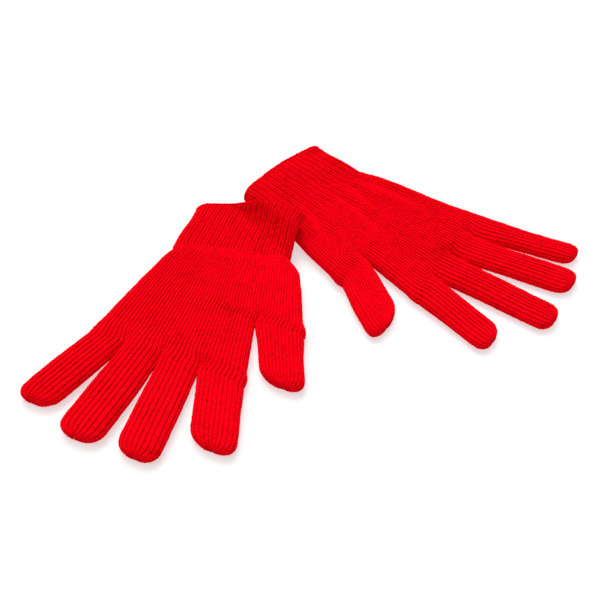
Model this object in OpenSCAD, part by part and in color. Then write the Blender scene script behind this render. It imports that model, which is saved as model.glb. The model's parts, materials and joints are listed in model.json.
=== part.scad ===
// Pair of knitted gloves laid down together with the palms up.
// The cuff of the left glove lies on the cuff of the right glove.
// A glove is a set of soft knitted tubes: a ribbed cuff, two palm tubes, and a tube for each digit
// that is made in two lengths, which meet where the wearer's finger bends.
// Sizes of a glove are given in its own directions: along the hand, and across it towards the thumb.

/* [Palm] */
// Distance from the wrist to the roots of the fingers
palm_len = 98; // [92:1:118]
// Distance from the wrist to the root of the thumb
thumb_at = 50; // [42:1:60]
// Width of the hand at the wrist
wrist_w = 79; // [68:1:95]
// Distances from the middle of the left and the right hand to the side of the heel
heel_side = [37.5, 41.5]; // [36:0.5:48]
// Distances from the middle of the left and the right hand to the little finger side, halfway along
palm_side = [42.3, 42.8]; // [41:0.1:50]
// Thickness of the glove at the thumb
palm_h = 11; // [10:0.2:14]

/* [Fingers] */
// Widths of the left little, ring, middle and index finger at the root
left_root_w = [24, 24.4, 24.4, 29.2]; // [20:0.2:34]
// Widths of the right little, ring, middle and index finger at the root
right_root_w = [21.4, 23.8, 23.8, 24.6]; // [20:0.2:34]
// Widths of the left little, ring, middle and index finger near the tip
left_tip_w = [25, 27.8, 26, 28]; // [20:0.1:31]
// Widths of the right little, ring, middle and index finger near the tip
right_tip_w = [18.5, 23, 23, 23]; // [18:0.1:31]
// Thicknesses of the left and the right finger tubes at the root
finger_h = [10, 9]; // [7.6:0.2:12]
// Thicknesses of the left and the right finger tubes near the tip
tip_h = [9.6, 8.2]; // [6.8:0.2:11]
// Lengths of the left little, ring, middle and index finger as they lie
left_finger_len = [58.5, 70.5, 69, 47.5]; // [40:0.5:90]
// Lengths of the right little, ring, middle and index finger as they lie
right_finger_len = [63.5, 73, 77, 53.5]; // [40:0.5:90]
// Distances from the root to the bend in the little, ring, middle and index finger
finger_bend_at = [26, 32, 32, 21]; // [18:1:30]
// Clear gap between neighbouring finger roots
finger_gap = 0.8; // [0.5:0.1:3]

/* [Thumb] */
// Lengths of the left and the right thumb as they lie
thumb_len = [39, 42.5]; // [36:0.5:54]
// Distance from the root of the thumb to its bend
thumb_bend_at = 17; // [14:1:20]
// Width of the thumb at its root, in the left and the right glove
thumb_root_w = [31.5, 27.5]; // [24:0.5:36]
// Width of the thumb near its tip
thumb_tip_w = 26.5; // [24:0.5:34]
// Clear gap between the thumb and the palm
thumb_gap = 1.2; // [0.8:0.1:4]

/* [Cuff] */
// Length of the ribbed cuff
cuff_len = 43; // [34:1:55]
// Width of the cuff at its mouth
mouth_w = 77; // [70:1:92]
// Thickness of the cuff as it lies
cuff_h = 11.6; // [10.5:0.1:15]
// Width of the finished edge of the mouth
edge_len = 3; // [2:0.5:5]
// How far the finished edge stands proud of the cuff
edge_proud = 0.6; // [0.2:0.1:1.5]

/* [Elastic] */
// Number of elastic rings in a cuff
elastic_rings = 3; // [1:1:5]
// Width of an elastic ring along the cuff
elastic_w = 1.4; // [0.8:0.2:3]
// Thickness of an elastic ring
elastic_t = 0.8; // [0.5:0.1:1.2]
// Clearance between the elastic and the inside of the cuff
elastic_gap = 0.5; // [0.3:0.05:0.8]

/* [Knit] */
// Wall of the hand and finger tubes
hand_wall = 1.6; // [1.2:0.1:2.2]
// Wall of the ribbed cuff
cuff_wall = 2.4; // [1.6:0.1:3]
// Gap between tubes that move against each other
joint_gap = 0.4; // [0.3:0.05:0.8]

/* [Pose] */
// Lean of the left little, ring, middle and index finger towards the thumb, in degrees
left_lean = [-13.5, -1.7, 8, 21.5]; // [-20:0.5:34]
// Lean of the right little, ring, middle and index finger towards the thumb, in degrees
right_lean = [-10.6, -7.4, 1.9, 15.5]; // [-20:0.5:34]
// Lean of the left and the right thumb, in degrees
thumb_lean = [27, 34]; // [20:1:40]
// Bend of the left and the right wrist towards the little finger, in degrees
wrist_bend = [13.4, 11]; // [0:0.5:20]
// Angle between each hand's direction and the middle line of its cuff, left and right
cuff_lean = [7, 11]; // [0:1:18]
// Turn of the cuff's mouth across the left and the right hand, in degrees
mouth_turn = [13, 8]; // [0:1:20]
// How far the corners of the left and the right mouth are drawn back
mouth_bow = [5, 4]; // [0:1:10]
// How far the left mouth is drawn back where it climbs over the right cuff
mouth_climb = 10; // [0:1:14]
// How far the left and the right palm are stretched at the wrist
wrist_slack = [0, 8]; // [0:1:12]
// Clearance between the two cuffs where they lie on each other
lay_gap = 1; // [0.6:0.1:3]
// Width of the slope where the left cuff comes down to the surface
lay_slope = 19; // [14:1:24]

/* [Hidden] */

LEFT = 0;
RIGHT = 1;
LITTLE = 0;
RING = 1;
MIDDLE = 2;
INDEX = 3;
THUMB = 4;
yarn_red = [0.86, 0.02, 0.07];
edge_red = [0.78, 0.02, 0.06];
elastic_red = [0.55, 0.02, 0.05];

// Where each wrist lies, and the direction in which each hand points
wrist_at = [[-57.24, 23.99], [10.76, 76.99]];
hand_dir = [-113.8, -34.8];
// The thumb is to the left of the left hand's direction and to the right of the right hand's
thumb_side = [90, -90];

// Side of the little finger's root across the left and the right hand
knuckle_low = [-47.4, -47];
// Side of the four-finger palm at the thumb's root, in the left and the right glove
crotch_v = [41, 35];
thumb_edge_v = [for (s = [LEFT, RIGHT]) crotch_v[s] + thumb_gap + thumb_root_w[s]];
root_w = [left_root_w, right_root_w];
tip_w = [left_tip_w, right_tip_w];
finger_len = [left_finger_len, right_finger_len];
finger_lean = [left_lean, right_lean];

// Low side of a finger's root across the hand, and the high side of the last one
function root_low(side, i) =
    i == LITTLE ? knuckle_low[side] : root_low(side, i - 1) + root_w[side][i - 1] + finger_gap;
function knuckle_high(side) = root_low(side, INDEX) + root_w[side][INDEX];

// Lengths of the rounded sides of the oval tubes
palm_round = 8;
finger_round = 8;
// Points on each rounded side, and steps along the flat of each kind of tube
round_steps = 4;
cuff_steps = 12;
palm_steps = 9;
finger_steps = 3;
// Clearance between the cuff's last course and its finished edge
edge_gap = 0.15;
// Stations along a cuff, and rings of a closed tip
cuff_stations = 7;
dome_steps = 4;
dome_len = 13;
// Exponent of the rounding of a tip, and where its last ring lies
dome_power = 2.4;
dome_last = 0.98;

// Point of the surface under a glove, from its place along and across the hand
function on_hand(side, u, v) =
    let (d = hand_dir[side], t = d + thumb_side[side])
    wrist_at[side] + u * [cos(d), sin(d)] + v * [cos(t), sin(t)];

// Middle of the cuff at a distance from the wrist, along and across the hand
function cuff_mid(side, s) =
    [-wrist_slack[side] - s * cos(cuff_lean[side]), -s * sin(cuff_lean[side])];

// The right glove's thumb side under the left cuff runs between these two points
cover_from = let (c = cuff_mid(RIGHT, cuff_len + edge_len), t = mouth_turn[RIGHT], a = mouth_w / 2)
    on_hand(RIGHT, c[0] - a * sin(t), c[1] + a * cos(t));
cover_to = on_hand(RIGHT, 8, wrist_w / 2 + 12);
cover_run = (cover_to - cover_from) / norm(cover_to - cover_from);
lay_height = cuff_h + 2 * edge_proud + lay_gap;
// The slope starts outside the covered glove and ends this far inside its side
lay_inside = 3;

function smooth(t) = let (c = min(max(t, 0), 1)) c * c * (3 - 2 * c);

// Height that the covered glove gives to the left glove at a point of the surface
function lay(p) =
    let (q = p - cover_from, inside = q[1] * cover_run[0] - q[0] * cover_run[1])
    lay_height * smooth((inside - lay_inside + lay_slope) / lay_slope);

// A station of a tube: place along and across the hand, turn, half width, half height,
// length of the rounded side, height of the middle, how far the sides are drawn back, and how far
// the part that climbs is drawn back
function station(u, v, turn, a, b, round, bow = 0, climb = 0) = [u, v, turn, a, b, round, b, bow, climb];

// Outline of a station, drawn inwards by an inset, with steps along the flat
function oval(a, b, round, steps) = concat(
    [for (i = [0:round_steps]) let (q = -90 + 180 * i / round_steps)
        [a - round + round * cos(q), b * sin(q)]],
    [for (i = [1:steps - 1]) [(a - round) * (1 - 2 * i / steps), b]],
    [for (i = [0:round_steps]) let (q = 90 + 180 * i / round_steps)
        [round - a + round * cos(q), b * sin(q)]],
    [for (i = [1:steps - 1]) [(a - round) * (2 * i / steps - 1), -b]]
);

// One ring of points in space
function ring(side, s, inset, steps) =
    [for (p = oval(s[3] - inset, s[4] - inset, s[5] - inset, steps))
        let (
            back = s[7] * pow(p[0] / s[3], 2),
            u = s[0] - p[0] * sin(s[2]) + back * cos(s[2]),
            v = s[1] + p[0] * cos(s[2]) + back * sin(s[2]),
            lifted = side == LEFT ? lay(on_hand(side, u, v)) : 0,
            drawn = s[8] * lifted / lay_height,
            at = on_hand(side, u + drawn * cos(s[2]), v + drawn * sin(s[2]))
        )
        [at[0], at[1], s[6] + p[1] + lifted]];

function rings(side, stations, inset, steps) = [for (s = stations) ring(side, s, inset, steps)];

// Centre of a ring
function centre(r) = [for (j = [0:2]) [for (p = r) p[j]] * [for (p = r) 1] / len(r)];

// Triangles between the rings of one skin, whose first point has the number o
function skin(o, m, n) =
    [for (i = [0:m - 2], j = [0:n - 1])
        let (a = o + i * n + j, b = o + i * n + (j + 1) % n, c = b + n, d = a + n)
        each [[a, b, c], [a, c, d]]];

function turned(faces) = [for (f = faces) [f[2], f[1], f[0]]];

// Tube wall between an outer and an inner skin, whose rings run from the mouth to the fingertips
module tube(side, outer, inner, closed = false) {
    n = len(outer[0]);
    m = len(outer);
    k = len(inner);
    inner_at = m * n;
    outer_pole = (m + k) * n;
    outer_end = (m - 1) * n;
    inner_end = inner_at + (k - 1) * n;
    poles = closed ? [centre(outer[m - 1]), centre(inner[k - 1])] : [];
    points = concat([for (r = outer) each r], [for (r = inner) each r], poles);
    near_rim = [for (j = [0:n - 1]) let (i = (j + 1) % n)
        each [[j, inner_at + j, inner_at + i], [j, inner_at + i, i]]];
    far_rim = [for (j = [0:n - 1]) let (i = (j + 1) % n)
        each [[outer_end + j, outer_end + i, inner_end + i], [outer_end + j, inner_end + i, inner_end + j]]];
    far_caps = [for (j = [0:n - 1]) let (i = (j + 1) % n)
        each [[outer_end + j, outer_end + i, outer_pole], [inner_end + i, inner_end + j, outer_pole + 1]]];
    faces = concat(skin(0, m, n), turned(skin(inner_at, k, n)), near_rim, closed ? far_caps : far_rim);
    polyhedron(points, side == LEFT ? turned(faces) : faces);
}

// Open tube with one wall
module sleeve(side, stations, wall, steps) {
    tube(side, rings(side, stations, 0, steps), rings(side, stations, wall, steps));
}

// Station of a cuff at a distance from the wrist
function cuff_station(side, s, proud = 0) =
    let (k = s / (cuff_len + edge_len), c = cuff_mid(side, s))
    station(
        c[0], c[1], wrist_bend[side] + k * (mouth_turn[side] - wrist_bend[side]),
        (wrist_w + k * (mouth_w - wrist_w)) / 2 + proud, cuff_h / 2 + proud, palm_round,
        mouth_bow[side] * k * k, side == LEFT ? mouth_climb * k * k : 0
    );

// The left wrist bends, and the right one is held down by the left cuff that lies on it
function wrist_gap(side) = side == LEFT ? joint_gap : 0;

// Distance from the wrist to one of the stations that a cuff is made of
function cuff_place(side, i) = let (start = wrist_gap(side)) start + (cuff_len - start) * i / cuff_stations;

module cuff(side) {
    color(yarn_red)
        sleeve(side, [for (i = [cuff_stations:-1:0]) cuff_station(side, cuff_place(side, i))],
            cuff_wall, cuff_steps);
}

// Ring that follows the flats of the cuff's wall between two of its stations
function cuff_ring(side, s, inset) =
    let (
        f = (s - cuff_place(side, 0)) * cuff_stations / (cuff_len - cuff_place(side, 0)),
        i = min(floor(f), cuff_stations - 1),
        k = f - i
    )
    (1 - k) * ring(side, cuff_station(side, cuff_place(side, i)), inset, cuff_steps)
    + k * ring(side, cuff_station(side, cuff_place(side, i + 1)), inset, cuff_steps);

module cuff_edge(side) {
    places = [edge_len, edge_len / 2, edge_gap];
    outer = [for (s = places) cuff_station(side, cuff_len + s, s == places[1] ? edge_proud : edge_proud / 2)];
    inner = [for (s = places) cuff_station(side, cuff_len + s)];
    color(edge_red)
        tube(side, rings(side, outer, 0, cuff_steps), rings(side, inner, cuff_wall, cuff_steps));
}

module cuff_elastic(side) {
    out = cuff_wall + elastic_gap;
    color(elastic_red)
        for (i = [1:elastic_rings]) {
            s = cuff_len * i / (elastic_rings + 1);
            ends = [s + elastic_w / 2, s - elastic_w / 2];
            outer = [for (e = ends) cuff_ring(side, e, out)];
            inner = [for (e = ends) cuff_ring(side, e, out + elastic_t)];
            tube(side, outer, inner);
        }
}

// Station of a palm between its little finger side and its thumb side
function palm_station(u, low, high, h, turn = 0) =
    station(u, (low + high) / 2, turn, (high - low) / 2, h / 2, palm_round);

// From the wrist to the thumb, the palm widens towards the thumb
module lower_palm(side) {
    bend = wrist_bend[side];
    wrist = cuff_station(side, 0);
    half = wrist_w / 2;
    heel = -heel_side[side];
    low = -palm_side[side];
    swell = thumb_edge_v[side] - half;
    color(yarn_red)
        sleeve(side, [
            wrist,
            palm_station(thumb_at * 0.1, heel, half + 0.24 * swell, cuff_h, bend * 0.75),
            palm_station(thumb_at * 0.28, heel + (low - heel) * 0.25, half + 0.44 * swell,
                cuff_h, bend * 0.4),
            palm_station(thumb_at * 0.62, heel + (low - heel) * 0.6, half + 0.72 * swell,
                (cuff_h + palm_h) / 2, bend * 0.1),
            palm_station(thumb_at, low, thumb_edge_v[side], palm_h)
        ], hand_wall, palm_steps);
}

// From the thumb to the finger roots
module upper_palm(side) {
    color(yarn_red)
        sleeve(side, [
            palm_station(thumb_at, -palm_side[side], crotch_v[side], palm_h),
            palm_station((thumb_at + palm_len) / 2, (knuckle_low[side] - palm_side[side]) / 2,
                (crotch_v[side] + knuckle_high(side)) / 2, (palm_h + finger_h[side]) / 2),
            palm_station(palm_len, knuckle_low[side], knuckle_high(side), finger_h[side])
        ], hand_wall, palm_steps);
}

// A digit: its root along and across the hand, lean, length, bend, widths and heights at root and tip
function digit(side, i) =
    i < THUMB
        ? [palm_len, root_low(side, i) + root_w[side][i] / 2, finger_lean[side][i],
            finger_len[side][i], finger_bend_at[i], root_w[side][i], tip_w[side][i],
            finger_h[side], tip_h[side]]
        : [thumb_at, thumb_edge_v[side] - thumb_root_w[side] / 2, thumb_lean[side],
            thumb_len[side], thumb_bend_at, thumb_root_w[side], thumb_tip_w, palm_h, tip_h[side]];

// Station of a digit at a distance from its root, with the width scaled by f and the height by g
function digit_station(d, s, wall = 0, f = 1, g = 1) =
    let (
        k = min(s / d[4], 1),
        w = d[5] + k * (d[6] / cos(d[2]) - d[5]),
        h = d[7] + min(s / d[3], 1) * (d[8] - d[7]),
        a = (w / 2 - wall) * f
    )
    [d[0] + s, d[1] + s * tan(d[2]), 0, a, (h / 2 - wall) * g, min(finger_round - wall, a * 0.8),
        h / 2, 0, 0];

module digit_base(side, i) {
    d = digit(side, i);
    color(yarn_red)
        sleeve(side, [for (s = [joint_gap, d[4] / 2, d[4] - joint_gap / 2]) digit_station(d, s)],
            hand_wall, finger_steps);
}

// Stations of a closed tip, from its open end to its last ring
function tip_stations(d, wall) =
    let (end = d[3] - wall, from = end - dome_len)
    concat(
        [digit_station(d, d[4] + joint_gap / 2, wall)],
        [for (k = [0:dome_steps])
            let (t = dome_last * sin(90 * k / dome_steps), f = pow(1 - pow(t, dome_power), 1 / dome_power))
            digit_station(d, from + t * dome_len, wall, f, pow(f, 0.8))]
    );

module digit_tip(side, i) {
    d = digit(side, i);
    color(yarn_red)
        tube(side, rings(side, tip_stations(d, 0), 0, finger_steps),
            rings(side, tip_stations(d, hand_wall), 0, finger_steps), closed = true);
}

cuff(RIGHT);  // right_cuff
cuff_edge(RIGHT);  // right_cuff_edge
cuff_elastic(RIGHT);  // right_cuff_elastic
lower_palm(RIGHT);  // right_lower_palm
upper_palm(RIGHT);  // right_upper_palm
digit_base(RIGHT, LITTLE);  // right_little_base
digit_tip(RIGHT, LITTLE);  // right_little_tip
digit_base(RIGHT, RING);  // right_ring_base
digit_tip(RIGHT, RING);  // right_ring_tip
digit_base(RIGHT, MIDDLE);  // right_middle_base
digit_tip(RIGHT, MIDDLE);  // right_middle_tip
digit_base(RIGHT, INDEX);  // right_index_base
digit_tip(RIGHT, INDEX);  // right_index_tip
digit_base(RIGHT, THUMB);  // right_thumb_base
digit_tip(RIGHT, THUMB);  // right_thumb_tip
cuff(LEFT);  // left_cuff
cuff_edge(LEFT);  // left_cuff_edge
cuff_elastic(LEFT);  // left_cuff_elastic
lower_palm(LEFT);  // left_lower_palm
upper_palm(LEFT);  // left_upper_palm
digit_base(LEFT, LITTLE);  // left_little_base
digit_tip(LEFT, LITTLE);  // left_little_tip
digit_base(LEFT, RING);  // left_ring_base
digit_tip(LEFT, RING);  // left_ring_tip
digit_base(LEFT, MIDDLE);  // left_middle_base
digit_tip(LEFT, MIDDLE);  // left_middle_tip
digit_base(LEFT, INDEX);  // left_index_base
digit_tip(LEFT, INDEX);  // left_index_tip
digit_base(LEFT, THUMB);  // left_thumb_base
digit_tip(LEFT, THUMB);  // left_thumb_tip
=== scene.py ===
"""Pair of red knitted gloves laid down with the palms up, the left cuff resting on the right one."""
import json

import bmesh
import bpy
import numpy as np
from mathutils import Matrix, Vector


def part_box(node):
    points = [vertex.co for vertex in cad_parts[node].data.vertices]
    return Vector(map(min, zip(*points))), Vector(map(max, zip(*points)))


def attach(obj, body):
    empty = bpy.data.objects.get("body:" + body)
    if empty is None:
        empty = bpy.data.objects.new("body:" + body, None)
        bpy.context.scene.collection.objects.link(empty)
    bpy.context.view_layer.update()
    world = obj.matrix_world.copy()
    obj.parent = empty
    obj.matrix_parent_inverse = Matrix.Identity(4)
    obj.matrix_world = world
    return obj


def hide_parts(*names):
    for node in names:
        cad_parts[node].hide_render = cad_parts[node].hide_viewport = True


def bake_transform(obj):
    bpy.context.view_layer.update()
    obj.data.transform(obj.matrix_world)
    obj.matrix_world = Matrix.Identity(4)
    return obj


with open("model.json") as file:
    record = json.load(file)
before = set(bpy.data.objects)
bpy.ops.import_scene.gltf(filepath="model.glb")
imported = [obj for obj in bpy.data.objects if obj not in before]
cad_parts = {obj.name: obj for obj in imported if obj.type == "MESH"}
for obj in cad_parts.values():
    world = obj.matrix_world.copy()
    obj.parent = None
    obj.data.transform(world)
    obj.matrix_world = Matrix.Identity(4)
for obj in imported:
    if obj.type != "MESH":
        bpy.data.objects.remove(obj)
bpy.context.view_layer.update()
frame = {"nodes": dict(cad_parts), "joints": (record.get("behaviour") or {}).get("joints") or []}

MM = 0.001

# ---------------------------------------------------------------- yarn
# Soft two-ply acrylic in one strong red. It is matt: its fine fibres scatter the light, so a stitch
# has no shine. The yarn that lies behind the stitches is sunk under them and takes their shadow, and
# its colour is also painted a darker red: painted shade.
BULKY_PATCH = 18 * MM
STITCH_SHADE = 3.0 * MM
FIBRE = 0.4 * MM
PLY_BANDS = 3.0
SHADE_AT, BODY_AT, LIGHT_AT = 0.36, 0.46, 0.62


def linear(code):
    """Linear colour of an sRGB hex value."""
    parts = [int(code[i:i + 2], 16) / 255 for i in (1, 3, 5)]
    return [c / 12.92 if c <= 0.04045 else ((c + 0.055) / 1.055) ** 2.4 for c in parts] + [1.0]


def add(tree, kind, links=None, **settings):
    """Adds a node with its settings, and links its inputs to sockets or sets them to values."""
    node = tree.nodes.new(kind)
    for name, value in settings.items():
        setattr(node, name, value)
    for key, value in (links or {}).items():
        socket = node.inputs[key]
        if isinstance(value, bpy.types.NodeSocket):
            tree.links.new(value, socket)
        else:
            socket.default_value = value
    return node


def yarn_material(name, shade, body, light):
    """Acrylic yarn: lighter and darker from place to place and from stitch to stitch."""
    material = bpy.data.materials.new(name)
    material.use_nodes = True
    tree = material.node_tree
    tree.nodes.clear()
    place = add(tree, "ShaderNodeTexCoord").outputs["Object"]
    patches = add(tree, "ShaderNodeTexNoise", {"Vector": place, "Scale": 1 / BULKY_PATCH, "Detail": 3.0})
    stitches = add(tree, "ShaderNodeTexNoise", {"Vector": place, "Scale": 1 / STITCH_SHADE, "Detail": 1.0})
    fibres = add(tree, "ShaderNodeTexNoise", {"Vector": place, "Scale": 1 / FIBRE, "Detail": 2.0})
    uneven = add(tree, "ShaderNodeMix", {
        "Factor": 0.55, "A": patches.outputs["Fac"], "B": stitches.outputs["Fac"]})
    mixed = add(tree, "ShaderNodeMix", {
        "Factor": 0.3, "A": uneven.outputs["Result"], "B": fibres.outputs["Fac"]})
    ramp = add(tree, "ShaderNodeValToRGB", {"Fac": mixed.outputs["Result"]})
    ramp.color_ramp.elements[0].position = SHADE_AT
    ramp.color_ramp.elements[0].color = linear(shade)
    ramp.color_ramp.elements[1].position = LIGHT_AT
    ramp.color_ramp.elements[1].color = linear(light)
    ramp.color_ramp.elements.new(BODY_AT).color = linear(body)
    plies = add(tree, "ShaderNodeTexWave", {
        "Vector": add(tree, "ShaderNodeUVMap", uv_map="UVMap").outputs["UV"],
        "Scale": PLY_BANDS, "Distortion": 1.5, "Detail": 1.0}, wave_type="BANDS", bands_direction="DIAGONAL")
    twist = add(tree, "ShaderNodeBump", {
        "Strength": 0.35, "Distance": 0.15 * MM, "Height": plies.outputs["Fac"]})
    fuzz = add(tree, "ShaderNodeBump", {
        "Strength": 0.4, "Distance": 0.1 * MM, "Height": fibres.outputs["Fac"],
        "Normal": twist.outputs["Normal"]})
    shader = add(tree, "ShaderNodeBsdfPrincipled", {
        "Base Color": ramp.outputs["Color"], "Roughness": 0.95, "IOR": 1.45, "Specular IOR Level": 0.02,
        "Sheen Weight": 0.08, "Sheen Roughness": 0.5, "Sheen Tint": linear("#FF0010"),
        "Normal": fuzz.outputs["Normal"]})
    add(tree, "ShaderNodeOutputMaterial", {"Surface": shader.outputs["BSDF"]})
    return material


stitch_yarn = yarn_material("red acrylic yarn", "#E00010", "#F80016", "#FF001A")
# painted shade: the yarn behind the stitches is the same yarn, given a darker red for the shade between them
shaded_ground_yarn = yarn_material("red acrylic yarn behind the stitches", "#C4000C", "#D80010", "#E40013")


# ---------------------------------------------------------------- knit stitch
# A plain knit stitch shows two slanted legs of yarn, which stand in a column, the wale, with a
# furrow beside it. One stitch is modelled, and a node tree sets it on every cell of a piece's skin.
LEG_RINGS = 3
LEG_AROUND = 5
LEG_WIDE = 0.225
LEG_HIGH = 0.40
LEG_FOOT = (0.11, -0.88, 0.18)
LEG_HEAD = (0.21, 0.82, 0.44)
LEG_CROWN = 0.14
LEG_TAPER_FROM, LEG_TAPER_RUN = 0.12, 0.76
LEG_FULLNESS = 0.6
YARN_THICKNESS = 1.3 * MM
STITCH_WIDTH = 2.2 * MM
THINNEST_YARN = 0.35
UNEVENNESS = 0.09
UNEVENNESS_SEED = 7


def leg_of_yarn(side):
    """One leg of a stitch in a cell of size one: a slanted grain of yarn, thick in the middle."""
    turned = np.array([side, 1.0, 1.0])
    low, high = np.array(LEG_FOOT) * turned, np.array(LEG_HEAD) * turned
    points, uvs = [low], [(0.0, 0.5)]
    for i in range(LEG_RINGS):
        k = (i + 1) / (LEG_RINGS + 1)
        centre = low + (high - low) * k + np.array([0.0, 0.0, LEG_CROWN * np.sin(np.pi * k)])
        fat = np.sin(np.pi * (LEG_TAPER_FROM + LEG_TAPER_RUN * k)) ** LEG_FULLNESS
        for j in range(LEG_AROUND):
            q = 2 * np.pi * j / LEG_AROUND
            points.append(centre + fat * np.array([LEG_WIDE * np.cos(q), 0.0, LEG_HIGH * np.sin(q)]))
            uvs.append((k, j / LEG_AROUND))
    points.append(high)
    uvs.append((1.0, 0.5))
    faces = []
    last = 1 + (LEG_RINGS - 1) * LEG_AROUND
    for j in range(LEG_AROUND):
        n = (j + 1) % LEG_AROUND
        faces.append((0, 1 + j, 1 + n))
        for i in range(LEG_RINGS - 1):
            a, b = 1 + i * LEG_AROUND, 1 + (i + 1) * LEG_AROUND
            faces.append((a + j, b + j, b + n, a + n))
        faces.append((last + j, len(points) - 1, last + n))
    return points, faces, uvs


def plain_mesh(name, points, faces, uvs=None):
    """A smooth mesh, with the place of each point in the yarn where that is given."""
    mesh = bpy.data.meshes.new(name)
    mesh.from_pydata([tuple(p) for p in points], [], [tuple(int(i) for i in f) for f in faces])
    if uvs is not None:
        layer = mesh.uv_layers.new(name="UVMap")
        at = np.empty(len(mesh.loops), dtype=np.int32)
        mesh.loops.foreach_get("vertex_index", at)
        layer.data.foreach_set("uv", np.asarray(uvs, dtype=np.float32)[at].ravel())
    mesh.shade_smooth()
    return mesh


def knit_stitch():
    """Both legs of a stitch, with their faces turned outwards."""
    points, faces, uvs = [], [], []
    for side in (-1, 1):
        p, f, uv = leg_of_yarn(side)
        faces += [tuple(i + len(points) for i in face) for face in f]
        points += p
        uvs += uv
    mesh = plain_mesh("one knit stitch", points, faces, uvs)
    work = bmesh.new()
    work.from_mesh(mesh)
    bmesh.ops.recalc_face_normals(work, faces=work.faces)
    work.to_mesh(mesh)
    work.free()
    mesh.shade_smooth()
    return bpy.data.objects.new("one knit stitch", mesh)


STITCH = knit_stitch()


def knitting_tree():
    """Sets a stitch on every face marked as knitted, and keeps the skin under them."""
    tree = bpy.data.node_groups.new("knitting", "GeometryNodeTree")
    sockets = {}
    for name, kind in (("Skin", "Geometry"), ("Stitch", "Object"), ("Yarn thickness", "Float"),
                       ("Unevenness", "Float"), ("Yarn", "Material"), ("Ground", "Material")):
        socket = tree.interface.new_socket(name, in_out="INPUT", socket_type="NodeSocket" + kind)
        sockets[name] = socket.identifier
    tree.interface.new_socket("Knit", in_out="OUTPUT", socket_type="NodeSocketGeometry")
    given = add(tree, "NodeGroupInput").outputs
    named = {}
    for name, kind in (("knitted", "BOOLEAN"), ("facing", "FLOAT_VECTOR"), ("wale", "FLOAT_VECTOR"),
                       ("cell", "FLOAT_VECTOR")):
        node = add(tree, "GeometryNodeInputNamedAttribute", {"Name": name}, data_type=kind)
        named[name] = node.outputs["Attribute"]
    points = add(tree, "GeometryNodeMeshToPoints", {
        "Mesh": given["Skin"], "Selection": named["knitted"]}, mode="FACES")
    turn = add(tree, "FunctionNodeAxesToRotation", {
        "Primary Axis": named["facing"], "Secondary Axis": named["wale"]},
        primary_axis="Z", secondary_axis="Y")
    cell = add(tree, "ShaderNodeSeparateXYZ", {"Vector": named["cell"]})
    thick = add(tree, "ShaderNodeMath", {
        0: cell.outputs["Z"], 1: given["Yarn thickness"]}, operation="MULTIPLY")
    size = add(tree, "ShaderNodeCombineXYZ", {
        "X": cell.outputs["X"], "Y": cell.outputs["Y"], "Z": thick.outputs["Value"]})
    least = add(tree, "ShaderNodeMath", {0: 1.0, 1: given["Unevenness"]}, operation="SUBTRACT")
    most = add(tree, "ShaderNodeMath", {0: 1.0, 1: given["Unevenness"]}, operation="ADD")
    uneven = add(tree, "FunctionNodeRandomValue", {"Seed": UNEVENNESS_SEED}, data_type="FLOAT")
    # a Random Value node has sockets of the same names for vectors, so its numbers go by identifier
    ends = {socket.identifier: socket for socket in uneven.inputs}
    tree.links.new(least.outputs["Value"], ends["Min_001"])
    tree.links.new(most.outputs["Value"], ends["Max_001"])
    factor = {socket.identifier: socket for socket in uneven.outputs}["Value_001"]
    scaled = add(tree, "ShaderNodeVectorMath", {
        0: size.outputs["Vector"], "Scale": factor}, operation="SCALE")
    stitch = add(tree, "GeometryNodeObjectInfo", {"Object": given["Stitch"]})
    placed = add(tree, "GeometryNodeInstanceOnPoints", {
        "Points": points.outputs["Points"], "Instance": stitch.outputs["Geometry"],
        "Rotation": turn.outputs["Rotation"], "Scale": scaled.outputs["Vector"]})
    real = add(tree, "GeometryNodeRealizeInstances", {"Geometry": placed.outputs["Instances"]})
    yarn = add(tree, "GeometryNodeSetMaterial", {
        "Geometry": real.outputs["Geometry"], "Material": given["Yarn"]})
    # the skin between the stitches gets the darker yarn, which is painted shade
    ground = add(tree, "GeometryNodeSetMaterial", {"Geometry": given["Skin"], "Material": given["Ground"]})
    both = add(tree, "GeometryNodeJoinGeometry")
    tree.links.new(yarn.outputs["Geometry"], both.inputs["Geometry"])
    tree.links.new(ground.outputs["Geometry"], both.inputs["Geometry"])
    out = add(tree, "NodeGroupOutput")
    tree.links.new(both.outputs["Geometry"], out.inputs["Knit"])
    return tree, sockets


KNITTING, KNITTING_INPUTS = knitting_tree()


# ---------------------------------------------------------------- fingers and thumbs
# Each finger and the thumb is a tube of plain knit, one wale to 2.5 mm, knitted from the tip down. It
# is made in two lengths here, which meet where the wearer's finger bends. Its tip is gathered and closed.
DIGITS = ["little", "ring", "middle", "index", "thumb"]
FINGERS = DIGITS[:4]
SIDES = ["right", "left"]
WRIST_TO_KNUCKLES = 98.2 * MM
KNUCKLE_LOW = {"left": -47.8 * MM, "right": -47.4 * MM}
ROOT_WIDTH = {"left": [24.8 * MM, 25.2 * MM, 25.2 * MM, 30.0 * MM],
              "right": [22.2 * MM, 24.6 * MM, 24.6 * MM, 25.4 * MM]}
TIP_WIDTH = {"left": [25.0 * MM, 27.8 * MM, 26.0 * MM, 27.0 * MM, 26.5 * MM],
             "right": [18.5 * MM, 23.0 * MM, 23.0 * MM, 23.0 * MM, 26.5 * MM]}
CROTCH = {"left": 41.6 * MM, "right": 35.6 * MM}
THUMB_WIDTH = {"left": 32.7 * MM, "right": 28.7 * MM}
WALE = 2.5 * MM
FINGER_WALES = {side: [round(width / WALE) for width in ROOT_WIDTH[side]] for side in SIDES}
THUMB_WALES = {"left": 15, "right": 15}
COURSE = 1.9 * MM
ROUND = 8.0 * MM
PALM_THICKNESS = 11.0 * MM
FINGER_THICKNESS = {"left": 10.0 * MM, "right": 9.0 * MM}
TIP_THICKNESS = {"left": 10.0 * MM, "right": 8.2 * MM}
# shares of a digit's length over which it takes its full width and its thickness
WIDTH_REACHED = 0.45
THICKNESS_REACHED = 0.8
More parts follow.
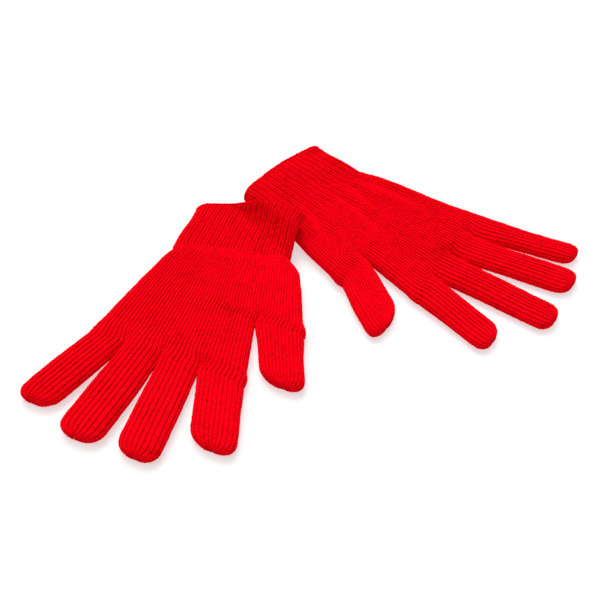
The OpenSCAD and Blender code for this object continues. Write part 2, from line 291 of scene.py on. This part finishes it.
# a tip closes over the length of its dome, and its last course leaves a hole that the pole fills
DOME = 11.5 * MM
DOME_POWER = 2.7
DOME_FLATNESS = 0.75
DOME_COURSES = 8
LAST_COURSE = 0.985
MOST_ROUND = 0.72
LINED_TO = 0.62
WALL = 1.6 * MM
GROUND_DEPTH = 0.6 * MM
TABLE_GAP = 0.9 * MM
joints = {joint["name"]: joint for joint in frame["joints"]}


def glove(side):
    """A glove's directions and landmarks on the table, from its knuckle joints."""
    knuckles = {d: np.array(joints[f"{side}_{d}_knuckle"]["pos_m"]) for d in DIGITS}
    bends = {d: np.array(joints[f"{side}_{d}_middle"]["pos_m"]) for d in DIGITS}
    axis = joints[f"{side}_little_knuckle"]["axis"]
    along = np.array([-axis[1], axis[0]])
    across = (knuckles["index"] - knuckles["little"])[:2]
    across /= np.linalg.norm(across)
    centre = knuckles["little"][:2] - across * (KNUCKLE_LOW[side] + ROOT_WIDTH[side][0] / 2)
    return dict(side=side, along=along, across=across, centre=centre, knuckles=knuckles, bends=bends,
                outward=1.0 if side == "left" else -1.0)


GLOVES = {side: glove(side) for side in SIDES}


def local(g, point):
    """Place of a point along and across the hand, from the line of the knuckles."""
    away = np.asarray(point)[:2] - g["centre"]
    return away @ g["along"], away @ g["across"]


def on_table(g, u, v):
    """Points of the table from places along and across the hand."""
    return g["centre"] + np.asarray(u)[..., None] * g["along"] + np.asarray(v)[..., None] * g["across"]


def smooth(t):
    """Eases from 0 to 1."""
    t = np.clip(t, 0.0, 1.0)
    return t * t * (3.0 - 2.0 * t)


THUMB_U = {side: local(g, g["knuckles"]["thumb"])[0] for side, g in GLOVES.items()}

# Creases that the knit has taken, as valleys between two points along and across the hand from the
# line of the knuckles, with depth and half width, all in millimetres. A valley has a low bank on each
# side of it, and runs out at its ends.
CREASES = {
    "left": [(-92, 15, -82, 30, 1.6, 3.5), (-79, 40, -72, 52, 1.0, 4), (-44, 60, -32, 65, 1.1, 4.5),
             (-17, -26, -15, -4, 1.0, 5), (-6, 16, -3, 33, 1.1, 3.5), (-106, 17, -99, 32, 1.3, 3),
             (-66, -30, -58, -8, 0.8, 5), (-100, -24, -86, -18, 0.8, 3)],
    "right": [(-104, 16, -79, 35, 2.8, 3.4), (-99, -7, -73, 1.5, 2.4, 3.2), (-73, 1.5, -54, 7, 1.7, 4),
              (-98, -20, -71, -9, 2.0, 3.2), (-92, -31, -50, -29, 1.8, 4), (-101, 34, -84, 46, 2.0, 3),
              (-60, 30, -44, 26, 0.8, 4), (-20, -20, -16, 4, 0.8, 4)],
}
BANK_HEIGHT = 0.35
BANK_PLACE = 1.9
RUN_OUT = 0.04
RIPPLE_PHASE = {"left": 1.7, "right": 4.1}
RIPPLE_HEIGHTS = (0.30, 0.26, 0.16)


def relief(side, u, v):
    """Height of the creases and of the soft unevenness of the knit, along and across the hand."""
    u, v = u / MM, v / MM
    phase = RIPPLE_PHASE[side]
    broad, crossing, fine = RIPPLE_HEIGHTS
    height = broad * np.sin(u / 9.0 + v / 17.0 + phase) + crossing * np.sin(v / 8.0 - u / 21.0 + 2.0 * phase)
    height += fine * np.sin(u / 4.3 - v / 6.1 + phase) * np.sin(v / 5.2 + u / 7.7)
    for u0, v0, u1, v1, depth, width in CREASES[side]:
        run = np.array([u1 - u0, v1 - v0], dtype=float)
        k = np.clip(((u - u0) * run[0] + (v - v0) * run[1]) / (run @ run), 0.0, 1.0)
        away = np.hypot(u - u0 - k * run[0], v - v0 - k * run[1])
        bank = BANK_HEIGHT * np.exp(-((away - BANK_PLACE * width) / width) ** 2)
        valley = np.exp(-(away / width) ** 2) - bank
        height -= depth * valley * np.sin(np.pi * np.clip(k, RUN_OUT, 1 - RUN_OUT)) ** 0.5
    return height * MM


def half_oval(t, a, b, r):
    """Half the outline of a flat tube of half width a and half height b, with sides rounded over a length
    r: from the low side over the top to the high side, for t from 0 to 1."""
    quarter = 0.5 * np.pi * np.sqrt((r * r + b * b) / 2)
    flat = 2 * (a - r)
    s = t * (2 * quarter + flat)
    low = np.clip(s / quarter, 0, 1) * np.pi / 2
    high = np.clip((s - quarter - flat) / quarter, 0, 1) * np.pi / 2
    x = -(a - r) - r * np.cos(low) + np.clip(s - quarter, 0, flat) + r * np.sin(high)
    return x, b * np.where(high > 0, np.cos(high), np.sin(low))


def both_faces(x, z):
    """The outline all the way round: over the top from the low side, and back underneath."""
    return np.concatenate([x, x[:, -2:0:-1]], axis=1), np.concatenate([z, -z[:, -2:0:-1]], axis=1)


# The left cuff and the left glove's heel lie on the right glove's thumb side, which runs straight
# from its mouth to its palm. The left glove comes down to the table beside it. The covered side ends
# at a place along and across the right hand.
LAY_SLOPE = 19.0 * MM
LAY_INSIDE = 3.0 * MM
LAY_GAP = 0.9 * MM
LAY_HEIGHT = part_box("right_cuff_edge")[1][2] + LAY_GAP
COVER_END = (-90.2 * MM, 51.5 * MM)
CUFF_LENGTH = 46.0 * MM
MOUTH_WIDTH = 77.0 * MM
WRIST_BEND = {"left": 13.4, "right": 11.0}
CUFF_LEAN = {"left": 7.0, "right": 11.0}
MOUTH_TURN = {"left": 13.0, "right": 8.0}
MOUTH_BOW = {"left": 5.0 * MM, "right": 4.0 * MM}
MOUTH_CLIMB = 10.0 * MM
WRIST_SLACK = {"left": 0.0, "right": 8.0 * MM}


def cuff_middle(side, s):
    """Middle of the cuff at a distance from the wrist, along and across the hand."""
    lean = np.radians(CUFF_LEAN[side])
    return -WRIST_TO_KNUCKLES - WRIST_SLACK[side] - s * np.cos(lean), -s * np.sin(lean)


def covered_side():
    """Start and direction of the covered side of the right glove."""
    u, v = cuff_middle("right", CUFF_LENGTH)
    turn = np.radians(MOUTH_TURN["right"])
    start = on_table(GLOVES["right"], u - MOUTH_WIDTH / 2 * np.sin(turn), v + MOUTH_WIDTH / 2 * np.cos(turn))
    end = on_table(GLOVES["right"], *COVER_END)
    return start, (end - start) / np.linalg.norm(end - start)


COVER_FROM, COVER_RUN = covered_side()


def lay(points):
    """Height that the covered glove gives to the left glove over points of the table."""
    away = points - COVER_FROM
    inside = away[..., 1] * COVER_RUN[0] - away[..., 0] * COVER_RUN[1]
    return LAY_HEIGHT * smooth((inside - LAY_INSIDE + LAY_SLOPE) / LAY_SLOPE)


def settle(g, u, v, z, middle, lifted=None):
    """Points in space from places along and across the hand, with the relief added to the top face, and
    to the left glove its lay, unless its height is given."""
    top = np.clip(z / np.maximum(middle, 1e-6), 0, 1)
    height = middle + z + relief(g["side"], u, v) * top
    height = np.maximum(height, TABLE_GAP)
    flat = on_table(g, u, v)
    if g["side"] == "left":
        height = height + (lay(flat) if lifted is None else lifted)
    return np.concatenate([flat, height[..., None]], axis=-1)


def unit(vectors):
    """The vectors, made one long."""
    return vectors / np.maximum(np.linalg.norm(vectors, axis=-1, keepdims=True), 1e-12)


def skin_faces(first, rows, columns, looped=False):
    """Quads between the courses of one skin, whose first point has the number first."""
    i, j = np.meshgrid(np.arange(rows if looped else rows - 1), np.arange(columns), indexing="ij")
    a, b = first + i * columns + j, first + i * columns + (j + 1) % columns
    up = np.where(i == rows - 1, -i, 1) * columns
    return np.stack([a, b, b + up, a + up], axis=-1).reshape(-1, 4)


def knit(name, g, grid, knitted=None, thickness=1.0, depth=GROUND_DEPTH, shape="tube"):
    """A knitted piece with a stitch on each knitted cell of its outer skin. A tube has two skins and a
    rim at each end, a tip is closed at its last course, and an edge is rolled and closes on itself."""
    looped = shape == "edge"
    rows, columns = grid.shape[:2]
    course = np.roll(grid, -1, axis=0) - np.roll(grid, 1, axis=0) if looped else np.gradient(grid, axis=0)
    across = np.roll(grid, -1, axis=1) - np.roll(grid, 1, axis=1)
    normals = g["outward"] * unit(np.cross(course, across))
    outer = grid - normals * np.broadcast_to(depth, (columns,))[None, :, None]
    points = [outer.reshape(-1, 3)]
    faces = [skin_faces(0, rows, columns, looped)[:, ::-1]]
    triangles = np.empty((0, 3), dtype=int)
    if not looped:
        kept = rows
        if shape == "tip":
            widths = np.linalg.norm(grid[:, 0] - grid[:, columns // 2], axis=-1)
            kept = int(np.sum(widths > LINED_TO * widths.max()))
        inner = (grid - normals * WALL)[:kept]
        inner_at = rows * columns
        points.append(inner.reshape(-1, 3))
        faces.append(skin_faces(inner_at, kept, columns))
        j = np.arange(columns)
        n = (j + 1) % columns
        faces.append(np.stack([j, n, inner_at + n, inner_at + j], axis=-1))
        last, inner_last = (rows - 1) * columns, inner_at + (kept - 1) * columns
        if shape == "tip":
            pole = inner_at + kept * columns
            points.append(np.array([outer[-1].mean(axis=0), inner[-1].mean(axis=0)]))
            triangles = np.concatenate([
                np.stack([last + n, last + j, np.full(columns, pole)], axis=-1),
                np.stack([inner_last + j, inner_last + n, np.full(columns, pole + 1)], axis=-1)])
        else:
            faces.append(np.stack([last + n, last + j, inner_last + j, inner_last + n], axis=-1))
    quads = np.concatenate(faces)
    if g["outward"] < 0:
        quads, triangles = quads[:, ::-1], triangles[:, ::-1]
    cells = [tuple(f) for f in quads] + [tuple(f) for f in triangles]
    mesh = plain_mesh(name, np.concatenate(points), cells)

    after = np.roll(grid, -1, axis=0) if looped else grid[1:]
    before = grid if looped else grid[:-1]
    wale = ((after - before) + (np.roll(after, -1, axis=1) - np.roll(before, -1, axis=1))) / 2
    width = ((np.roll(before, -1, axis=1) - before) + (np.roll(after, -1, axis=1) - after)) / 2
    count = wale.shape[0] * columns
    total = len(quads) + len(triangles)
    wide = np.linalg.norm(width, axis=-1)
    cells = np.stack([wide, np.linalg.norm(wale, axis=-1),
                      np.clip(wide / STITCH_WIDTH, THINNEST_YARN, 1.0) * thickness], axis=-1)
    facing = g["outward"] * unit(np.cross(wale, width))
    for key, value in (("wale", unit(wale)), ("facing", facing), ("cell", cells)):
        data = np.zeros((total, 3), dtype=np.float32)
        data[:count] = value.reshape(-1, 3)
        mesh.attributes.new(key, "FLOAT_VECTOR", "FACE").data.foreach_set("vector", data.ravel())
    marked = np.zeros(total, dtype=bool)
    marked[:count] = True if knitted is None else knitted.ravel()
    mesh.attributes.new("knitted", "BOOLEAN", "FACE").data.foreach_set("value", marked)

    piece = bpy.data.objects.new(name, mesh)
    bpy.context.scene.collection.objects.link(piece)
    modifier = piece.modifiers.new("knitting", "NODES")
    modifier.node_group = KNITTING
    for key, value in (("Stitch", STITCH), ("Yarn thickness", YARN_THICKNESS), ("Unevenness", UNEVENNESS),
                       ("Yarn", stitch_yarn), ("Ground", shaded_ground_yarn)):
        modifier[KNITTING_INPUTS[key]] = value
    made = bpy.data.meshes.new_from_object(piece.evaluated_get(bpy.context.evaluated_depsgraph_get()))
    piece.modifiers.clear()
    piece.data = made
    piece.data.name = name
    for key in ("wale", "facing", "cell", "knitted"):
        if key in made.attributes:
            made.attributes.remove(made.attributes[key])
    made.shade_smooth()
    return piece


def courses(start, end):
    """Places of the courses between two ends, a whole number of them."""
    return np.linspace(start, end, max(2, int(round(abs(end - start) / COURSE)) + 1))


def root(side, digit):
    """Place along and across the hand, and width, of a digit's root."""
    if digit == "thumb":
        return THUMB_U[side], CROTCH[side] + THUMB_WIDTH[side] / 2, THUMB_WIDTH[side]
    i = DIGITS.index(digit)
    width = ROOT_WIDTH[side][i]
    return 0.0, KNUCKLE_LOW[side] + sum(ROOT_WIDTH[side][:i]) + width / 2, width


def digit_grid(g, digit):
    """Courses of a whole digit, and the number of the course at its bend."""
    side = g["side"]
    i = DIGITS.index(digit)
    root_u, root_v, root_w = root(side, digit)
    bend_u, bend_v = local(g, g["bends"][digit])
    lean = (bend_v - root_v) / (bend_u - root_u)
    vertices = np.array([v.co for v in frame["nodes"][f"{side}_{digit}_tip"].data.vertices])
    end_u = ((vertices[:, :2] - g["centre"]) @ g["along"]).max()
    tip_w = TIP_WIDTH[side][i] * np.hypot(1, lean)
    base = courses(root_u, bend_u)
    straight = courses(bend_u, end_u - DOME)
    arc = np.linspace(0, 1, DOME_COURSES + 1)[1:] * np.pi / 2
    u = np.concatenate([base, straight[1:], end_u - DOME + DOME * LAST_COURSE * np.sin(arc)])
    k = (u - root_u) / (end_u - root_u)
    into = np.clip((u - end_u + DOME) / DOME, 0, 1)
    f = (1 - into ** DOME_POWER) ** (1 / DOME_POWER)
    half = (root_w + (tip_w - root_w) * smooth(k / WIDTH_REACHED)) / 2 * f
    root_h = PALM_THICKNESS if digit == "thumb" else FINGER_THICKNESS[side]
    thick = root_h + (TIP_THICKNESS[side] - root_h) * smooth(k / THICKNESS_REACHED)
    b = thick / 2 * f ** DOME_FLATNESS
    wales = THUMB_WALES[side] if digit == "thumb" else FINGER_WALES[side][i]
    t = np.arange(wales + 1)[None, :] / wales
    x, z = half_oval(t, half[:, None], b[:, None], np.minimum(ROUND, MOST_ROUND * half)[:, None])
    x, z = both_faces(x, z)
    v = x + (root_v + (u - root_u) * lean)[:, None]
    middle = np.broadcast_to((thick / 2)[:, None], x.shape)
    return settle(g, np.broadcast_to(u[:, None], x.shape), v, z, middle), len(base)


for side, g in GLOVES.items():
    for digit in DIGITS:
        grid, at_bend = digit_grid(g, digit)
        hand, base, tip = f"{side}_hand", f"{side}_{digit}_base", f"{side}_{digit}_tip"
        piece = knit(f"{base}_knit", g, grid[:at_bend])
        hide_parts(base)
        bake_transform(piece)
        piece = knit(f"{tip}_knit", g, grid[at_bend - 1:], shape="tip")
        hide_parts(tip)
        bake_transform(piece)


# ---------------------------------------------------------------- palms
# The palm is knitted in the round after the fingers: first the four-finger tube, then, with the
# thumb's stitches taken in, the five-finger tube down to the wrist. Plain knit, as the fingers are.
FORK = 13.0 * MM
FORK_FALL = 1.6
CUFF_THICKNESS = 11.6 * MM
HEEL_SIDE = {"left": 37.7 * MM, "right": 41.7 * MM}
PALM_SIDE = {"left": 42.5 * MM, "right": 43.0 * MM}
WRIST_WIDTH = 79.0 * MM
# how far the palm has turned into shape at some shares of the way from the wrist to the thumb: on the
# little finger's side, on the thumb's side, in thickness, and the share of the wrist's bend that is left
PALM_SHAPE = [(0.1, 0.0, 0.24, 0.0, 0.75), (0.28, 0.25, 0.44, 0.0, 0.4), (0.62, 0.6, 0.72, 0.5, 0.1)]
RIB_RUNOUT = 20.0 * MM
WRIST_COLUMNS = np.array([0.0, 0.43, 0.86])
RIBS = {side: (sum(FINGER_WALES[side]) + THUMB_WALES[side]) // len(WRIST_COLUMNS) for side in SIDES}


def between(u, stations):
    """Values of each column of the stations at places u, eased between them."""
    stations = np.array(stations)
    at = stations[:, 0]
    i = np.clip(np.searchsorted(at, u) - 1, 0, len(at) - 2)
    h = at[i + 1] - at[i]
    t = np.clip((u - at[i]) / h, 0, 1)
    values = []
    for column in stations.T[1:]:
        slope = np.gradient(column, at)
        values.append((1 + 2 * t) * (1 - t) ** 2 * column[i] + t * (1 - t) ** 2 * h * slope[i]
                      + t * t * (3 - 2 * t) * column[i + 1] + t * t * (t - 1) * h * slope[i + 1])
    return values


def humps(t, tubes, b):
    """Outline of several tubes side by side, each given by its low side, width and share of t."""
    x, z = np.zeros(np.broadcast(t, b).shape), np.zeros(np.broadcast(t, b).shape)
    start = 0.0
    for low, width, share in tubes:
        own_x, own_z = half_oval(np.clip((t - start) / share, 0, 1), width / 2, b, ROUND)
        here = (t >= start - 1e-9) & (start + share >= t - 1e-9)
        x, z = np.where(here, own_x + low + width / 2, x), np.where(here, own_z, z)
        start += share
    return x, z


def rib_places(ribs, columns):
    """Places of the columns round one face, from their places within a rib."""
    return np.append((np.arange(ribs)[:, None] + columns[None, :]).ravel(), ribs)[None, :] / ribs


def upper_palm(g):
    """Courses of the four-finger tube, which parts into four humps at the fingers."""
    side = g["side"]
    u = courses(THUMB_U[side], 0.0)
    knuckle_low, knuckle_high = KNUCKLE_LOW[side], KNUCKLE_LOW[side] + sum(ROOT_WIDTH[side])
    low, high, thick = between(u, [
        (THUMB_U[side], -PALM_SIDE[side], CROTCH[side], PALM_THICKNESS),
        (THUMB_U[side] / 2, (knuckle_low - PALM_SIDE[side]) / 2, (CROTCH[side] + knuckle_high) / 2,
         (PALM_THICKNESS + FINGER_THICKNESS[side]) / 2),
        (0.0, knuckle_low, knuckle_high, FINGER_THICKNESS[side])])
    wales = sum(FINGER_WALES[side])
    t = np.arange(wales + 1)[None, :] / wales
    b = (thick / 2)[:, None]
    x, z = half_oval(t, ((high - low) / 2)[:, None], b, ROUND)
    x = x + ((high + low) / 2)[:, None]
    tubes = [(root(side, d)[1] - root(side, d)[2] / 2, root(side, d)[2], n / wales)
             for d, n in zip(FINGERS, FINGER_WALES[side])]
    hump_x, hump_z = humps(t, tubes, b)
    fork = smooth((u + FORK) / FORK)[:, None]
    x, z = both_faces(x + (hump_x - x) * fork, z + (hump_z - z) * fork ** FORK_FALL)
    return settle(g, np.broadcast_to(u[:, None], x.shape), x, z, np.broadcast_to(b, x.shape))


def lower_palm(g):
    """Courses of the five-finger tube, which parts into two humps at the thumb."""
    side = g["side"]
    half = WRIST_WIDTH / 2
    heel, little_side = -HEEL_SIDE[side], -PALM_SIDE[side]
    edge = CROTCH[side] + THUMB_WIDTH[side]
    swell = edge - half
    wrist_u, _ = cuff_middle(side, 0.0)
    reach = THUMB_U[side] + WRIST_TO_KNUCKLES
    u = courses(wrist_u, THUMB_U[side])
    wrist = (wrist_u, -half, half, CUFF_THICKNESS, WRIST_BEND[side])
    thumb = (THUMB_U[side], little_side, edge, PALM_THICKNESS, 0.0)
    shaped = [(-WRIST_TO_KNUCKLES + reach * share, heel + (little_side - heel) * inner, half + outer * swell,
               CUFF_THICKNESS + (PALM_THICKNESS - CUFF_THICKNESS) * thinned, WRIST_BEND[side] * bent)
              for share, inner, outer, thinned, bent in PALM_SHAPE]
    low, high, thick, turn = between(u, [wrist, *shaped, thumb])
    palm_wales = sum(FINGER_WALES[side])
    wales = palm_wales + THUMB_WALES[side]
    # at the wrist every third wale is drawn together, as it is in the ribs of the cuff
    even, ribbed = np.arange(wales + 1)[None, :] / wales, rib_places(RIBS[side], WRIST_COLUMNS)
    t = even + (ribbed - even) * smooth(1 - (u - wrist_u) / RIB_RUNOUT)[:, None]
    b = (thick / 2)[:, None]
    x, z = half_oval(t, ((high - low) / 2)[:, None], b, ROUND)
    middle = ((high + low) / 2)[:, None]
    tubes = [(little_side, CROTCH[side] - little_side, palm_wales / wales),
             (CROTCH[side], THUMB_WIDTH[side], THUMB_WALES[side] / wales)]
    hump_x, hump_z = humps(t, tubes, b)
    fork = smooth((u - THUMB_U[side] + FORK) / FORK)[:, None]
    x, z = both_faces(x + (hump_x - middle - x) * fork, z + (hump_z - z) * fork ** FORK_FALL)
    turned = np.radians(turn)[:, None]
    return settle(g, u[:, None] - x * np.sin(turned), middle + x * np.cos(turned), z,
                  np.broadcast_to(b, x.shape))


for side, g in GLOVES.items():
    piece = knit(f"{side}_upper_palm_knit", g, upper_palm(g))
    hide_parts(f"{side}_upper_palm")
    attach(piece, f"{side}_hand")
    piece = knit(f"{side}_lower_palm_knit", g, lower_palm(g))
    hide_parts(f"{side}_lower_palm")
    if side == "left":
        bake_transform(piece)
    else:
        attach(piece, "right_hand")


# ---------------------------------------------------------------- cuffs
# The cuff is two-and-one rib: pairs of knit wales with a sunken purl wale between the pairs, drawn
# in by elastic thread. It is knitted on from the palm, whose wales run on into it three to a rib.
RIB_COLUMNS = np.array([0.0, 0.43, 0.86, 0.93])
RIB_DEPTH = np.array([0.8, 0.6, 0.8, 1.5]) * MM
RIB_YARN = 1.1
RIB_SWAY = 0.35 * MM
SWAY_ALONG, SWAY_ACROSS = 5 * MM, 9 * MM
SWAY_START = 2.0
EDGE = 3.0 * MM


def cuff_outline(g, s, inset, t):
    """Points of the cuff at distances from the wrist, drawn in by an inset."""
    side = g["side"]
    share = s / CUFF_LENGTH
    u0, v0 = cuff_middle(side, s)
    turn = np.radians(WRIST_BEND[side] + share * (MOUTH_TURN[side] - WRIST_BEND[side]))[:, None]
    a = ((WRIST_WIDTH + share * (MOUTH_WIDTH - WRIST_WIDTH)) / 2 - inset)[:, None]
    b = (CUFF_THICKNESS / 2 - inset)[:, None]
    x, z = both_faces(*half_oval(t, a, b, ROUND - inset[:, None]))
    x = x + RIB_SWAY * np.sin(s / SWAY_ALONG + SWAY_START)[:, None] * np.sin(x / SWAY_ACROSS) * (z > 0)
    bow = MOUTH_BOW[side] * (share ** 2)[:, None] * (x / a) ** 2
    u = u0[:, None] - x * np.sin(turn) + bow * np.cos(turn)
    v = v0[:, None] + x * np.cos(turn) + bow * np.sin(turn)
    lifted = lay(on_table(g, u, v))
    if side == "left":
        drawn = MOUTH_CLIMB * (share ** 2)[:, None] * lifted / LAY_HEIGHT
        u, v = u + drawn * np.cos(turn), v + drawn * np.sin(turn)
    return settle(g, u, v, z, np.full(x.shape, CUFF_THICKNESS / 2), lifted)


for side, g in GLOVES.items():
    body = "left_cuff" if side == "left" else "right_hand"
    rows = int(round((CUFF_LENGTH - EDGE) / COURSE)) + 1
    s = np.linspace(CUFF_LENGTH - EDGE, 0.0, rows)
    grid = cuff_outline(g, s, np.zeros(rows), rib_places(RIBS[side], RIB_COLUMNS))
    columns = grid.shape[1]
    half = np.arange(columns // 2)
    kinds = np.concatenate([half % len(RIB_COLUMNS), -half % len(RIB_COLUMNS)])
    # the first two cells of a rib are knit wales over the top face, and so the last two underneath
    cells = np.concatenate([half % len(RIB_COLUMNS) < 2, half % len(RIB_COLUMNS) > 1])
    knitted = np.broadcast_to(cells[None, :], (rows - 1, columns))
    piece = knit(f"{side}_cuff_rib", g, grid, knitted=knitted, thickness=RIB_YARN, depth=RIB_DEPTH[kinds])
    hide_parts(f"{side}_cuff")
    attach(piece, body)

# ---------------------------------------------------------------- cuff edges
# The mouth is overlocked: loops of yarn, two to a rib, wrap over the rim from outside to inside, so
# the edge is a soft roll that stands a little proud of the rib.
ROLL_STEPS = 8
ROLL_INSET = 0.9 * MM
ROLL_SIZE = 1.3 * MM
EDGE_YARN = 0.9
EDGE_COLUMNS = np.array([0.0, 0.5])
for side, g in GLOVES.items():
    body = "left_cuff" if side == "left" else "right_hand"
    angle = np.arange(ROLL_STEPS) * 2 * np.pi / ROLL_STEPS
    s = CUFF_LENGTH - EDGE / 2 + EDGE / 2 * np.cos(angle)
    inset = ROLL_INSET - ROLL_SIZE * np.sin(angle)
    grid = cuff_outline(g, s, inset, rib_places(RIBS[side], EDGE_COLUMNS))
    piece = knit(f"{side}_cuff_edge_knit", g, grid, thickness=EDGE_YARN, shape="edge")
    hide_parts(f"{side}_cuff_edge")
    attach(piece, body)

# ---------------------------------------------------------------- elastic
# Covered elastic thread runs round the inside of each cuff. It is a deeper red than the yarn, and it
# stays as the frame holds it.
elastic_thread = yarn_material("covered elastic thread", "#6A0006", "#7E0009", "#98000C")
for side in GLOVES:
    node = frame["nodes"][f"{side}_cuff_elastic"]
    node.data.materials.clear()
    node.data.materials.append(elastic_thread)

# ---------------------------------------------------------------- table, light and camera
# A plain white table in soft light, most of it from a large lamp behind the gloves, and a camera
# that looks down at 45 degrees.
TABLE_SIZE = 8.0
bpy.ops.mesh.primitive_plane_add(size=TABLE_SIZE, location=(0, 0, 0))
table = bpy.context.object
table.name = "table"
paper = bpy.data.materials.new("white table")
paper.use_nodes = True
paper_shader = paper.node_tree.nodes["Principled BSDF"]
paper_shader.inputs["Base Color"].default_value = linear("#A8A8A8")
paper_shader.inputs["Roughness"].default_value = 0.9
paper_shader.inputs["Emission Color"].default_value = (1.0, 1.0, 1.0, 1.0)
paper_shader.inputs["Emission Strength"].default_value = 0.55
table.data.materials.append(paper)

world = bpy.data.worlds.new("studio")
bpy.context.scene.world = world
world.use_nodes = True
world.node_tree.nodes["Background"].inputs["Color"].default_value = (1.0, 1.0, 1.0, 1.0)
world.node_tree.nodes["Background"].inputs["Strength"].default_value = 0.40


def lamp(name, direction, strength, spread):
    """A very large soft lamp that shines from a direction."""
    light = bpy.data.lights.new(name, "SUN")
    light.energy = strength
    light.angle = np.radians(spread)
    holder = bpy.data.objects.new(name, light)
    holder.rotation_euler = Vector(direction).to_track_quat("Z", "Y").to_euler()
    bpy.context.scene.collection.objects.link(holder)


lamp("softbox behind", (-0.12, 0.55, 0.85), 2.3, 40)
lamp("softbox above", (-0.2, -0.1, 1.0), 0.95, 70)

camera = bpy.data.objects.new("camera", bpy.data.cameras.new("camera"))
camera.data.lens = 60.0
camera.data.sensor_width = 36.0
camera.location = (-11.76 * MM, -462.63 * MM, 450.7 * MM)
camera.rotation_euler = (np.radians(45.0), 0.0, 0.0)
bpy.context.scene.collection.objects.link(camera)
bpy.context.scene.camera = camera
bpy.context.scene.view_settings.view_transform = "Standard"
